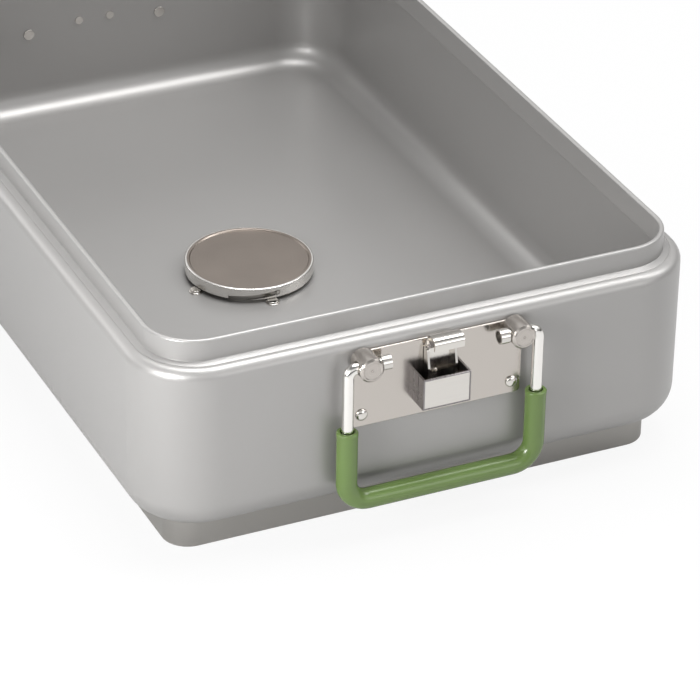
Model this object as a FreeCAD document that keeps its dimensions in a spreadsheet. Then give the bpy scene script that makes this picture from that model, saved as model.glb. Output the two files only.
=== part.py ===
import FreeCAD, Part
import Sketcher
import math
import os
import re

# Open base of a rigid sterilization container: an anodised aluminium pan on a foot frame,
# with a carrying handle and a lid lock on each short end and a bayonet drain in the floor.
# X is the width, Y the length, Z up. The front end faces -Y. The origin is the middle of
# the foot frame's lower edge. Hardware of one end is modelled about the middle of that end:
# Y = 0 is the outer face of the wall and -Y points outward.

document = FreeCAD.newDocument("sterilization_container_pan")
sizes = document.addObject("Spreadsheet::Sheet", "sizes")

SIZES = [
    # pan
    ("tub_width", 280.0, "outside width of the pan"),
    ("tub_length", 430.4, "outside length of the pan"),
    ("tub_height", 113.0, "rim above the table"),
    ("wall", 2.0, "sheet thickness of walls and floor"),
    ("body_corner", 33.6, "outside radius of the upright corners"),
    ("base_radius", 15.0, "outside radius between wall and floor"),
    ("neck_height", 10.5, "rim above the ledge that the lid rests on"),
    ("ledge_width", 2.8, "width of the ledge"),
    ("ledge_fall", 1.0, "slope of the ledge"),
    ("groove_width", 0.6, "fine groove between ledge and shoulder"),
    ("groove_depth", 0.6, "depth of that groove"),
    ("shoulder_radius", 5.2, "convex shoulder below the groove"),
    ("rim_thickness", 2.5, "thickness of the neck"),
    ("rim_rounding", 1.1, "rounding of the rim"),
    ("neck_rounding", 1.2, "rounding of the neck's lower inner edge"),
    # foot frame
    ("foot_height", 15.5, "height of the foot frame"),
    ("foot_step", 0.4, "foot frame inside the end of the base radius"),
    ("foot_corner", 13.0, "outside corner radius of the foot frame"),
    ("foot_sheet", 2.0, "sheet of the foot frame"),
    ("foot_flange", 8.0, "inward flange that is welded to the floor"),
    ("foot_rounding", 0.8, "rounding of the lower edge"),
    # plate behind the handle
    ("plate_margin", 4.7, "plate beyond the post axis on each side"),
    ("plate_height", 39.8, "height of the plate"),
    ("plate_sheet", 1.5, "sheet of the plate"),
    ("plate_corner", 2.5, "corner radius of the plate"),
    ("plate_bevel", 0.3, "bevel of its front edge"),
    ("plate_gap", 0.1, "gap between plate and shoulder"),
    ("rivet_side", 4.9, "rivet from the side edge of the plate"),
    ("rivet_rise", 6.4, "rivet from the lower edge of the plate"),
    ("rivet_head", 3.0, "radius of the domed head"),
    ("rivet_dome", 1.7, "height of the domed head"),
    ("rivet_shank", 1.6, "radius of the shank"),
    ("rivet_tail", 0.8, "height of a flat closing head"),
    ("fit", 0.05, "radial clearance of shanks and of the wire in its bores"),
    # posts
    ("post_inset", 9.7, "post axis inside the handle leg's axis"),
    ("post_drop", 4.1, "post axis below the upper edge of the plate"),
    ("post_radius", 6.0, "radius of a post"),
    ("post_length", 11.8, "length of a post in front of the plate"),
    ("post_chamfer", 1.0, "chamfer of its face"),
    ("post_dish", 0.35, "depth of the turned face"),
    ("post_dish_rim", 0.5, "land around the turned face"),
    ("post_dimple", 0.7, "radius of the centre dimple"),
    ("post_stud", 2.5, "radius of the stud through plate and wall"),
    ("washer_radius", 4.2, "radius of the inner washer"),
    ("washer_sheet", 0.8, "thickness of the inner washer"),
    ("stud_head", 3.4, "radius of the riveted stud end"),
    ("mouth_flare", 0.9, "countersink at the mouths of the cross bore"),
    # handle
    ("wire_radius", 2.75, "radius of the handle wire"),
    ("wire_off", 7.8, "wire axis in front of the wall"),
    ("handle_span", 96.0, "distance between the legs"),
    ("handle_drop", 70.7, "bar axis below the pivot axis"),
    ("top_bend", 4.0, "bend radius at the pivots, on the wire axis"),
    ("low_bend", 11.0, "bend radius at the bar, on the wire axis"),
    ("wire_end", 6.4, "wire end inward of the post"),
    ("collar_radius", 3.6, "radius of the retaining collar"),
    ("collar_length", 4.5, "length of the retaining collar"),
    ("collar_gap", 0.3, "collar from the post"),
    ("grip_radius", 5.0, "radius of the sleeve"),
    ("grip_drop", 32.4, "upper end of the sleeve below the pivot axis"),
    ("grip_mouth", 0.7, "widening of the sleeve at its ends"),
    ("grip_mouth_depth", 1.5, "depth of that widening"),
    # lid lock
    ("lock_width", 24.1, "width of the lock housing"),
    ("lock_height", 15.9, "height of the lock housing"),
    ("lock_rise", 7.9, "lock above the lower edge of the plate"),
    ("lock_depth", 10.5, "depth of the housing in front of the plate"),
    ("lock_wall", 1.0, "wall of the housing"),
    ("lock_floor", 3.7, "solid floor of the housing"),
    ("lock_edge", 0.3, "rounding of its outer edges"),
    ("seam_off", 4.7, "seam on the sides of the housing in front of the plate"),
    ("seam_width", 0.4, "width of that seam"),
    ("seam_depth", 0.3, "depth of that seam"),
    ("face_border", 0.7, "frame around the inset face"),
    ("face_inset", 0.4, "depth of the inset face"),
    ("face_sheet", 0.3, "thickness of the blank face plate"),
    ("lock_rivet_span", 18.0, "distance between the rivets of the housing"),
    ("lock_rivet_shank", 1.1, "radius of those rivets"),
    ("lock_rivet_head", 2.2, "radius of their inner heads"),
    ("lock_rivet_bite", 5.0, "length of those rivets inside the housing"),
    # hook
    ("hook_sheet", 1.1, "sheet of the hook"),
    ("hook_width", 15.0, "width of the hook"),
    ("hook_gap", 0.4, "hook from the plate"),
    ("hook_pivot_off", 3.1, "pivot axis in front of the plate"),
    ("hook_pivot_rise", 3.0, "pivot axis above the floor of the housing"),
    ("hook_eye", 2.3, "radius of the flange around the pivot"),
    ("hook_web_start", 2.0, "lower edge of the web above the pivot"),
    ("hook_web_top", 20.2, "bend of the web above the pivot"),
    ("hook_knee_off", 4.7, "knee in front of the plate"),
    ("hook_knee_rise", 28.9, "knee above the pivot"),
    ("hook_nose_off", 11.9, "nose in front of the plate"),
    ("hook_nose_rise", 29.4, "nose above the pivot"),
    ("hook_lip_off", 11.0, "lip in front of the plate"),
    ("hook_lip_rise", 23.8, "lip above the pivot"),
    ("hook_bend", 2.8, "bend radius of web and nose"),
    ("hook_flange_shoulder", 12.0, "full depth of the flange above the pivot"),
    ("hook_flange_top", 21.0, "top of the flange above the pivot"),
    ("hook_flange_tip", 2.9, "depth of the flange at its top"),
    ("pivot_radius", 1.25, "radius of the pivot pin"),
    ("pivot_seat", 0.6, "pin end inside the housing wall"),
    ("coil_wire", 0.3, "half the side of the springs' square wire"),
    ("hook_coil", 1.65, "coil radius of the hook spring"),
    ("hook_coil_pitch", 1.4, "pitch of the hook spring"),
    ("hook_coil_length", 5.6, "length of the hook spring"),
    # plunger and thermal strip inside the lock
    ("plunger_off", 7.3, "plunger axis in front of the plate"),
    ("plunger_stem", 1.1, "radius of the plunger stem"),
    ("plunger_head", 1.9, "radius of the plunger head"),
    ("plunger_head_height", 1.6, "height of the plunger head"),
    ("plunger_top", 3.4, "plunger below the upper edge of the housing"),
    ("plunger_reach", 1.4, "plunger stem below the floor's upper face"),
    ("plunger_coil", 1.5, "coil radius of the plunger spring"),
    ("plunger_coil_pitch", 1.7, "pitch of the plunger spring"),
    ("strip_start", 2.3, "strip end from the middle of the lock"),
    ("strip_depth", 1.5, "depth of the thermal strip"),
    ("strip_height", 0.9, "height of the thermal strip"),
    ("strip_top", 5.0, "strip below the upper edge of the housing"),
    # drain
    ("drain_bore", 11.0, "radius of the drain opening"),
    ("cap_radius", 32.7, "outside radius of the drain cap"),
    ("cap_sheet", 1.0, "sheet of the drain cap"),
    ("cap_gap", 1.8, "skirt above the floor"),
    ("cap_top", 7.2, "disc above the floor"),
    ("bead_rise", 0.6, "bead above the disc"),
    ("bead_width", 2.3, "width of the bead"),
    ("bead_swell", 0.25, "bead outside the skirt"),
    ("bead_height", 1.3, "height of the bead"),
    ("bead_rounding", 0.8, "rounding of the bead"),
    ("ring_radius", 29.6, "outside radius of the drain base ring"),
    ("ring_sheet", 1.2, "upstand of the drain base ring"),
    ("ring_flange", 1.0, "flange of the drain base ring"),
    ("ring_height", 5.7, "height of the drain base ring"),
    ("bayonet_pin", 0.9, "radius of a bayonet pin"),
    ("bayonet_level", 4.4, "bayonet pin above the floor"),
    ("bayonet_play", 0.25, "play of the pin in its slot"),
    ("bayonet_turn", 45.0, "slot length in degrees"),
    ("bayonet_lift", 2.2, "rise of the slot over its length"),
    ("bayonet_angle", -87.0, "direction of the front bayonet pin in degrees"),
    ("ring_rivet_circle", 17.6, "circle of the base ring rivets"),
    ("ring_rivet_head", 2.4, "radius of their heads"),
    ("ring_rivet_shank", 1.4, "radius of their shanks"),
    ("support_circle", 34.2, "circle of the support studs"),
    ("support_radius", 2.8, "radius of a support stud"),
    ("support_height", 1.5, "height of a support stud"),
    ("support_foot", 3.5, "radius of its foot"),
    ("support_foot_height", 0.5, "height of its foot"),
    ("gasket_inner", 22.0, "inner radius of the cap gasket"),
    ("gasket_outer", 26.5, "outer radius of the cap gasket"),
    ("gasket_height", 1.75, "height of the cap gasket"),
    ("carrier_margin", 0.9, "gasket carrier beyond the gasket"),
    ("carrier_height", 0.8, "height of the gasket carrier"),
    ("seat_gap", 0.05, "gap between faces that rest on each other"),
    ("valve_radius", 14.2, "radius of the valve disc"),
    ("valve_sheet", 0.8, "thickness of the valve disc"),
    ("valve_stem", 1.8, "radius of the valve stem"),
    ("valve_stem_height", 2.2, "height of the valve stem"),
    ("valve_seal_width", 2.5, "width of the valve seal"),
    ("valve_seal_height", 1.15, "height of the valve seal"),
    ("boss_radius", 3.6, "radius of the boss under the cap"),
    ("boss_height", 2.0, "height of the boss under the cap"),
    ("bimetal_inner", 4.1, "inner radius of the bimetal disc"),
    ("bimetal_outer", 10.0, "outer radius of the bimetal disc"),
    ("bimetal_sheet", 0.4, "thickness of the bimetal disc"),
    ("valve_coil", 4.9, "coil radius of the valve spring"),
    ("valve_coil_pitch", 1.2, "pitch of the valve spring"),
]

SUPPORT_ANGLES = (-93.0, -165.0, 51.0)

for row, (alias, number, note) in enumerate(SIZES, start=1):
    sizes.set(f"A{row}", note)
    sizes.set(f"B{row}", str(number))
    sizes.setAlias(f"B{row}", alias)
document.recompute()

ALIASES = {alias for alias, number, note in SIZES}

# Levels and places that several pieces share, as expressions of the sizes.
FLOOR = "(foot_height + wall)"
LEDGE = "(tub_height - neck_height)"
SHOULDER_TOP = "(tub_height - neck_height - ledge_fall)"
NECK_INSET = "(shoulder_radius + groove_width + ledge_width)"
PLATE_TOP = f"({SHOULDER_TOP} - shoulder_radius - plate_gap)"
PLATE_LOW = f"({PLATE_TOP} - plate_height)"
POST_LEVEL = f"({PLATE_TOP} - post_drop)"
POST_X = "(handle_span / 2 - post_inset)"
PLATE_WIDTH = f"(2 * ({POST_X} + plate_margin))"
RIVET_X = f"({PLATE_WIDTH} / 2 - rivet_side)"
RIVET_LEVEL = f"({PLATE_LOW} + rivet_rise)"
LOCK_LOW = f"({PLATE_LOW} + lock_rise)"
LOCK_FLOOR = f"({LOCK_LOW} + lock_floor)"
LOCK_TOP = f"({LOCK_LOW} + lock_height)"
LOCK_RIVET_LEVEL = f"({LOCK_LOW} + lock_floor / 2)"
PIVOT_OFF = "(plate_sheet + hook_pivot_off)"
PIVOT_LEVEL = f"({LOCK_FLOOR} + hook_pivot_rise)"
PLUNGER_OFF = "(plate_sheet + plunger_off)"
POST_FACE = "(plate_sheet + post_length)"


def linked(expression):
    """The expression with every alias pointing to the sheet."""
    return re.sub(r"[a-z]\w*", lambda m: f"sizes.{m[0]}" if m[0] in ALIASES else m[0], expression)


def value(expression):
    return float(sizes.evalExpression(linked(expression)))


def bind(thing, **properties):
    for name, expression in properties.items():
        thing.setExpression(name, linked(expression))


def add_body(label):
    body = document.addObject("PartDesign::Body", label)
    body.Label = label
    return body


def add_sketch(body, name, role="XY_Plane", offset="0"):
    """An empty sketch on one of the body's own planes, moved along the plane's normal."""
    sketch = body.newObject("Sketcher::SketchObject", f"{body.Name}_{name}")
    plane = [item for item in body.Origin.OriginFeatures if item.Role == role][0]
    sketch.AttachmentSupport = [(plane, "")]
    sketch.MapMode = "FlatFace"
    sketch.setExpression("AttachmentOffset.Base.z", linked(offset))
    return sketch


def hold(sketch, geometry, position, x, y):
    """Fixes one point of a sketch at two expressions."""
    for kind, axis, expression in (("DistanceX", -2, x), ("DistanceY", -1, y)):
        if expression == "0":
            sketch.addConstraint(Sketcher.Constraint("PointOnObject", geometry, position, axis))
            continue
        place = Sketcher.Constraint(kind, -1, 1, geometry, position, value(expression))
        sketch.setExpression(f"Constraints[{sketch.addConstraint(place)}]", linked(expression))


def draw_circle(sketch, radius, x="0", y="0"):
    centre = FreeCAD.Vector(value(x), value(y), 0)
    circle = sketch.addGeometry(Part.Circle(centre, FreeCAD.Vector(0, 0, 1), value(radius)))
    hold(sketch, circle, 3, x, y)
    constraint = sketch.addConstraint(Sketcher.Constraint("Radius", circle, value(radius)))
    sketch.setExpression(f"Constraints[{constraint}]", linked(radius))


def draw_chain(sketch, corners, closed=True):
    """Lines from corner to corner. A corner is (x, y) or, where it is rounded, (x, y, radius)."""
    points = [FreeCAD.Vector(value(corner[0]), value(corner[1]), 0) for corner in corners]
    count = len(points)
    rounded = [len(corner) == 3 for corner in corners]
    legs = range(count if closed else count - 1)
    ways = {leg: (points[(leg + 1) % count] - points[leg]).normalize() for leg in legs}
    before, after = list(points), list(points)
    for index, corner in enumerate(corners):
        if rounded[index]:
            turn = ways[(index - 1) % count].getAngle(ways[index])
            reach = value(corner[2]) * math.tan(turn / 2)
            before[index] = points[index] - ways[(index - 1) % count] * reach
            after[index] = points[index] + ways[index] * reach
    lines = {}
    for leg in legs:
        lines[leg] = sketch.addGeometry(Part.LineSegment(after[leg], before[(leg + 1) % count]))
    for index, corner in enumerate(corners):
        arriving, leaving = lines.get((index - 1) % count), lines.get(index)
        if not closed and index == 0:
            hold(sketch, leaving, 1, *corner)
        elif not closed and index == count - 1:
            hold(sketch, lines[index - 1], 2, *corner)
        elif not rounded[index]:
            sketch.addConstraint(Sketcher.Constraint("Coincident", arriving, 2, leaving, 1))
            hold(sketch, leaving, 1, *corner)
        else:
            round_corner(sketch, corner, points[index], before[index], after[index], arriving, leaving)


def round_corner(sketch, corner, point, start, end, arriving, leaving):
    x, y, radius = corner
    middle = (start + end) * 0.5
    inward = (middle - point).normalize()
    half = (start - point).getAngle(middle - point)
    size = value(radius)
    centre = point + inward * (size / math.sin(half))
    arc = sketch.addGeometry(Part.Arc(start, centre - inward * size, end))
    first, last = (1, 2) if sketch.getPoint(arc, 1).isEqual(start, 1e-6) else (2, 1)
    mark = sketch.addGeometry(Part.Point(point), True)
    hold(sketch, mark, 1, x, y)
    sketch.addConstraint([
        Sketcher.Constraint("PointOnObject", mark, 1, arriving),
        Sketcher.Constraint("PointOnObject", mark, 1, leaving),
        Sketcher.Constraint("Tangent", arriving, 2, arc, first),
        Sketcher.Constraint("Tangent", leaving, 1, arc, last),
    ])
    bend = sketch.addConstraint(Sketcher.Constraint("Radius", arc, size))
    sketch.setExpression(f"Constraints[{bend}]", linked(radius))


def add_axis_line(sketch, start, end):
    """A construction line that a profile turns about."""
    ends = [FreeCAD.Vector(value(x), value(y), 0) for x, y in (start, end)]
    line = sketch.addGeometry(Part.LineSegment(*ends), True)
    hold(sketch, line, 1, *start)
    hold(sketch, line, 2, *end)


def draw_plate(sketch, width, length, radius, middle="0"):
    """A rectangle with rounded corners, centred on the sketch's upright axis."""
    right, left = f"{width} / 2", f"-{width} / 2"
    upper, lower = f"{middle} + {length} / 2", f"{middle} - {length} / 2"
    draw_chain(sketch, [(left, lower, radius), (right, lower, radius),
                        (right, upper, radius), (left, upper, radius)])


def draw_box(sketch, left, right, lower, upper):
    draw_chain(sketch, [(left, lower), (right, lower), (right, upper), (left, upper)])


def add_pad(body, name, sketch, length, both_ways=False):
    pad = body.newObject("PartDesign::Pad", f"{body.Name}_{name}")
    pad.Profile = sketch
    if both_ways:
        pad.SideType = "Symmetric"
    bind(pad, Length=length)
    return pad


def add_pocket(body, name, sketch, length, reverse=False, both_ways=False):
    pocket = body.newObject("PartDesign::Pocket", f"{body.Name}_{name}")
    pocket.Profile = sketch
    pocket.Reversed = reverse
    if both_ways:
        pocket.SideType = "Symmetric"
    bind(pocket, Length=length)
    return pocket


def add_turned(body, name, sketch, axis, kind="Revolution"):
    turned = body.newObject(f"PartDesign::{kind}", f"{body.Name}_{name}")
    turned.Profile = sketch
    turned.ReferenceAxis = (sketch, [axis])
    turned.Angle = 360
    return turned


def add_pipe(body, name, profile, path, kind="AdditivePipe"):
    pipe = body.newObject(f"PartDesign::{kind}", f"{body.Name}_{name}")
    pipe.Profile = profile
    pipe.Spine = (path, [f"Edge{number}" for number in range(1, len(path.Shape.Edges) + 1)])
    return pipe


def add_coil(body, radius, pitch, length):
    """A helical spring of square wire along the body's Z axis, standing on Z = 0."""
    sketch = add_sketch(body, "section", "XZ_Plane")
    draw_box(sketch, f"{radius} - coil_wire", f"{radius} + coil_wire", "0", "2 * coil_wire")
    coil = body.newObject("PartDesign::AdditiveHelix", f"{body.Name}_coil")
    coil.Profile = sketch
    coil.ReferenceAxis = (sketch, ["V_Axis"])
    coil.Mode = "pitch-height-angle"
    bind(coil, Pitch=pitch, Height=f"{length} - 2 * coil_wire")
    return coil


def add_rounding(body, name, base, radius, chosen, kind="Fillet"):
    """Rounds or bevels the edges of the last feature that the test chooses."""
    document.recompute()
    names = [f"Edge{number}" for number, edge in enumerate(base.Shape.Edges, start=1) if chosen(edge)]
    rounding = body.newObject(f"PartDesign::{kind}", f"{body.Name}_{name}")
    rounding.Base = (base, names)
    if kind == "Fillet":
        bind(rounding, Radius=radius)
    else:
        bind(rounding, Size=radius)
    return rounding


def add_copies(body, name, features, kind, settle):
    copies = body.newObject(f"PartDesign::{kind}", f"{body.Name}_{name}")
    copies.Originals = features
    settle(copies, body)
    body.Tip = copies
    return copies


def mirror_across(copies, body):
    plane = [item for item in body.Origin.OriginFeatures if item.Role == "YZ_Plane"][0]
    copies.MirrorPlane = (plane, [""])


def three_around(copies, body):
    axis = [item for item in body.Origin.OriginFeatures if item.Role == "Z_Axis"][0]
    copies.Axis = (axis, [""])
    copies.Angle = 360
    copies.Occurrences = 3


def level_at(z):
    """Chooses the edges that lie level at a height."""
    height = value(z)
    return lambda edge: max(abs(edge.BoundBox.ZMin - height), abs(edge.BoundBox.ZMax - height)) < 1e-4


def facing_at(y):
    """Chooses the edges that lie in an upright plane across the length."""
    depth = value(y)
    return lambda edge: max(abs(edge.BoundBox.YMin - depth), abs(edge.BoundBox.YMax - depth)) < 1e-4


def place_at_end(thing, end, x="0", off="0", z="0", turn=None):
    """Moves a piece from the middle of the wall to the front or the rear end."""
    half_turn = FreeCAD.Rotation(FreeCAD.Vector(0, 0, 1), 0 if end == "front" else 180)
    own_turn = turn or FreeCAD.Rotation()
    sign = "-" if end == "front" else ""
    side = "" if end == "front" else "-"
    thing.Placement = FreeCAD.Placement(FreeCAD.Vector(), half_turn * own_turn)
    thing.setExpression("Placement.Base.x", linked(f"{side}({x})"))
    thing.setExpression("Placement.Base.y", linked(f"{sign}(tub_length / 2 + {off})"))
    thing.setExpression("Placement.Base.z", linked(z))


def place_in_drain(thing, z="0", angle=0.0):
    thing.Placement = FreeCAD.Placement(FreeCAD.Vector(), FreeCAD.Rotation(FreeCAD.Vector(0, 0, 1), angle))
    thing.setExpression("Placement.Base.z", linked(f"{FLOOR} + {z}"))


def flat_ring(label, inner, outer, height):
    """A body between two radii, standing on its own Z = 0."""
    body = add_body(label)
    sketch = add_sketch(body, "plan")
    draw_circle(sketch, inner)
    draw_circle(sketch, outer)
    add_pad(body, "ring", sketch, height)
    return body


def tub_shell():
    body = add_body("tub_shell")

    def inset_plan(name, level, *insets):
        sketch = add_sketch(body, name, offset=level)
        for inset in insets:
            draw_plate(sketch, f"(tub_width - 2 * {inset})", f"(tub_length - 2 * {inset})",
                       f"body_corner - {inset}")
        return sketch

    bore_inset = f"({NECK_INSET} + rim_thickness)"
    groove_inset = "(shoulder_radius + groove_width)"
    reach = value(f"tub_width / 2 - {bore_inset}") + 0.01

    def level_inside(z):
        chosen = level_at(z)
        return lambda edge: chosen(edge) and max(edge.BoundBox.XMax, -edge.BoundBox.XMin) <= reach

    def level_outside(z):
        chosen = level_at(z)
        return lambda edge: chosen(edge) and max(edge.BoundBox.XMax, -edge.BoundBox.XMin) > reach

    under_shoulder = f"({SHOULDER_TOP} - wall)"
    add_pad(body, "block", inset_plan("plan", "foot_height", "0"), f"{SHOULDER_TOP} - foot_height")
    ledge = body.newObject("PartDesign::AdditiveLoft", f"{body.Name}_ledge")
    ledge.Profile = inset_plan("ledge_low", SHOULDER_TOP, groove_inset)
    ledge.Sections = [inset_plan("ledge_high", LEDGE, NECK_INSET)]
    ledge.Ruled = True
    add_pad(body, "neck", inset_plan("neck_plan", SHOULDER_TOP, NECK_INSET), f"tub_height - {SHOULDER_TOP}")
    add_pocket(body, "hollow", inset_plan("inside_plan", under_shoulder, "wall"),
               f"{under_shoulder} - {FLOOR}")
    step = add_pocket(body, "mouth", inset_plan("mouth_plan", "tub_height", bore_inset),
                      "neck_height + ledge_fall + 2 * wall")
    step = add_rounding(body, "floor_rounding", step, "base_radius - wall", level_at(FLOOR))
    step = add_rounding(body, "ceiling_rounding", step, "shoulder_radius - wall",
                        level_outside(under_shoulder))
    step = add_rounding(body, "base_rounding", step, "base_radius", level_at("foot_height"))
    block_edge = value("tub_width / 2") - 0.01
    shoulder_level = level_at(SHOULDER_TOP)
    add_rounding(body, "shoulder", step, "shoulder_radius",
                 lambda edge: shoulder_level(edge) and max(
                     edge.BoundBox.XMax, -edge.BoundBox.XMin,
                     edge.BoundBox.YMax - value("(tub_length - tub_width) / 2"),
                     -edge.BoundBox.YMin - value("(tub_length - tub_width) / 2")) > block_edge)
    groove_plan = inset_plan("groove_plan", SHOULDER_TOP, "shoulder_radius", groove_inset)
    step = add_pocket(body, "groove", groove_plan, "groove_depth")
    step = add_rounding(body, "rim", step, "rim_rounding", level_at("tub_height"))
    add_rounding(body, "neck_inside", step, "neck_rounding", level_inside(under_shoulder))
    document.recompute()

    holes = add_sketch(body, "end_holes", "XZ_Plane")
    for side in ("", "-"):
        draw_circle(holes, "rivet_shank + fit", f"{side}{RIVET_X}", RIVET_LEVEL)
        draw_circle(holes, "post_stud + fit", f"{side}{POST_X}", POST_LEVEL)
        draw_circle(holes, "lock_rivet_shank + fit", f"{side}lock_rivet_span / 2", LOCK_RIVET_LEVEL)
    add_pocket(body, "end_holes_cut", holes, "2 * tub_length", both_ways=True)
    drain = add_sketch(body, "drain_holes", offset=FLOOR)
    draw_circle(drain, "drain_bore")
    for number in range(3):
        angle = f"({120 * number} + bayonet_angle + 60)"
        draw_circle(drain, "ring_rivet_shank + fit", f"ring_rivet_circle * cos({angle})",
                    f"ring_rivet_circle * sin({angle})")
    for angle in SUPPORT_ANGLES:
        draw_circle(drain, "ring_rivet_shank + fit", f"support_circle * cos({angle})",
                    f"support_circle * sin({angle})")
    add_pocket(body, "drain_cut", drain, "2 * wall")
    return body


def foot_frame():
    body = add_body("foot_frame")
    inset = "(base_radius + foot_step)"

    def ring(name, level, outer, inner):
        sketch = add_sketch(body, name, offset=level)
        for step in (outer, inner):
            draw_plate(sketch, f"(tub_width - 2 * ({inset} + {step}))",
                       f"(tub_length - 2 * ({inset} + {step}))", f"foot_corner - {step}")
        return sketch

    wall = add_pad(body, "wall", ring("wall_plan", "0", "0", "foot_sheet"), "foot_height")
    add_rounding(body, "edge", wall, "foot_rounding", level_at("0"))
    flange = ring("flange_plan", "foot_height - foot_sheet", "foot_sheet / 2", "foot_flange")
    add_pad(body, "flange", flange, "foot_sheet")
    return body


def handle_plate(end):
    body = add_body(f"{end}_handle_plate")
    front = add_sketch(body, "outline", "XZ_Plane")
    draw_plate(front, PLATE_WIDTH, "plate_height", "plate_corner", f"{PLATE_TOP} - plate_height / 2")
    sheet = add_pad(body, "sheet", front, "plate_sheet")
    add_rounding(body, "bevel", sheet, "plate_bevel", facing_at("-plate_sheet"), kind="Chamfer")
    holes = add_sketch(body, "holes", "XZ_Plane")
    for side in ("", "-"):
        draw_circle(holes, "rivet_shank + fit", f"{side}{RIVET_X}", RIVET_LEVEL)
        draw_circle(holes, "post_stud + fit", f"{side}{POST_X}", POST_LEVEL)
        draw_circle(holes, "lock_rivet_shank + fit", f"{side}lock_rivet_span / 2", LOCK_RIVET_LEVEL)
    add_pocket(body, "holes_cut", holes, "3 * plate_sheet", both_ways=True)
    place_at_end(body, end)
    return body


def headed_pair(label, end, profile, spacing, level):
    """Two turned pieces side by side, their axes along Y, from one profile beside that axis."""
    body = add_body(label)
    sketch = add_sketch(body, "profile", "XY_Plane")
    draw_chain(sketch, [(f"{spacing} / 2 + {corner[0]}",) + corner[1:] for corner in profile])
    add_axis_line(sketch, (f"{spacing} / 2", "0"), (f"{spacing} / 2", "rivet_head"))
    turned = add_turned(body, "turned", sketch, "Axis0")
    add_copies(body, "pair", [turned], "Mirrored", mirror_across)
    place_at_end(body, end, z=level)
    return body


def plate_rivets(end):
    profile = [("0", "wall + rivet_tail"), ("rivet_head", "wall + rivet_tail"), ("rivet_head", "wall"),
               ("rivet_shank", "wall"), ("rivet_shank", "-plate_sheet"), ("rivet_head", "-plate_sheet"),
               ("rivet_head", "-plate_sheet - rivet_dome", "rivet_dome * 0.95"),
               ("0", "-plate_sheet - rivet_dome")]
    return headed_pair(f"{end}_plate_rivets", end, profile, f"(2 * {RIVET_X})", RIVET_LEVEL)


def lock_rivets(end):
    inner = "wall + rivet_tail"
    tip = "-plate_sheet - lock_rivet_bite"
    profile = [("0", inner), ("lock_rivet_head", inner), ("lock_rivet_head", "wall"),
               ("lock_rivet_shank", "wall"), ("lock_rivet_shank", tip), ("0", tip)]
    return headed_pair(f"{end}_lock_rivets", end, profile, "lock_rivet_span", LOCK_RIVET_LEVEL)


def handle_post(end, side):
    """Turned post with a dished face, a cross bore for the wire and a riveted stud."""
    body = add_body(f"{end}_{side}_handle_post")
    sketch = add_sketch(body, "profile", "YZ_Plane")
    tail = "wall + washer_sheet"
    face = f"-{POST_FACE}"
    land = "post_radius - post_chamfer - post_dish_rim"
    draw_chain(sketch, [
        (f"{tail} + rivet_tail", "0"), (f"{tail} + rivet_tail", "stud_head"), (tail, "stud_head"),
        (tail, "post_stud"), ("-plate_sheet", "post_stud"), ("-plate_sheet", "post_radius"),
        (f"{face} + post_chamfer", "post_radius"), (face, "post_radius - post_chamfer"),
        (face, land), (f"{face} + post_dish", f"{land} - post_dish"),
        (f"{face} + post_dish", "post_dimple"), (f"{face} + post_dish + post_dimple", "0")])
    add_turned(body, "turned", sketch, "H_Axis")
    for name, way in (("right", ""), ("left", "-")):
        flare = add_sketch(body, f"flare_{name}", "XY_Plane")
        start, reach = f"{way}(post_radius - 2 * mouth_flare)", f"{way}(post_radius + mouth_flare)"
        small, large = "wire_radius + fit", "wire_radius + fit + 1.5 * mouth_flare"
        draw_chain(flare, [(start, "-wire_off"), (reach, "-wire_off"), (reach, f"-wire_off + {large}"),
                           (start, f"-wire_off + {small}")])
        add_axis_line(flare, (start, "-wire_off"), (reach, "-wire_off"))
        add_turned(body, f"mouth_{name}", flare, "Axis0", "Groove")
    bore = add_sketch(body, "bore_section", "YZ_Plane")
    draw_circle(bore, "wire_radius + fit", "-wire_off")
    add_pocket(body, "bore", bore, "3 * post_radius", both_ways=True)
    sign = "-" if side == "left" else ""
    place_at_end(body, end, x=f"{sign}{POST_X}", z=POST_LEVEL)
    return body


def post_washers(end):
    body = add_body(f"{end}_post_washers")
    sketch = add_sketch(body, "plan", "XZ_Plane", offset="-wall")
    for side in ("", "-"):
        draw_circle(sketch, "washer_radius", f"{side}{POST_X}", "0")
        draw_circle(sketch, "post_stud + fit", f"{side}{POST_X}", "0")
    pad = add_pad(body, "washers", sketch, "washer_sheet")
    pad.Reversed = True
    place_at_end(body, end, z=POST_LEVEL)
    return body


def handle_path(body, top, closed_ends):
    """The bent wire's axis in the upright plane, from its upper left end to its upper right end."""
    path = add_sketch(body, "path", "XZ_Plane")
    leg, bar = "handle_span / 2", "-handle_drop"
    corners = [(f"-{leg}", bar, "low_bend"), (leg, bar, "low_bend")]
    if closed_ends:
        end = f"({POST_X} - wire_end)"
        corners = [(f"-{end}", "0"), (f"-{leg}", "0", "top_bend")] + corners
        corners += [(leg, "0", "top_bend"), (end, "0")]
    else:
        corners = [(f"-{leg}", top)] + corners + [(leg, top)]
    draw_chain(path, corners, closed=False)
    document.recompute()
    return path


def handle_wire(end):
    body = add_body(f"{end}_handle_wire")
    path = handle_path(body, "0", closed_ends=True)
    section = add_sketch(body, "section", "YZ_Plane", offset=f"-({POST_X} - wire_end)")
    draw_circle(section, "wire_radius")
    add_pipe(body, "bent", section, path)
    place_at_end(body, end, off="wire_off", z=POST_LEVEL)
    return body


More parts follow.
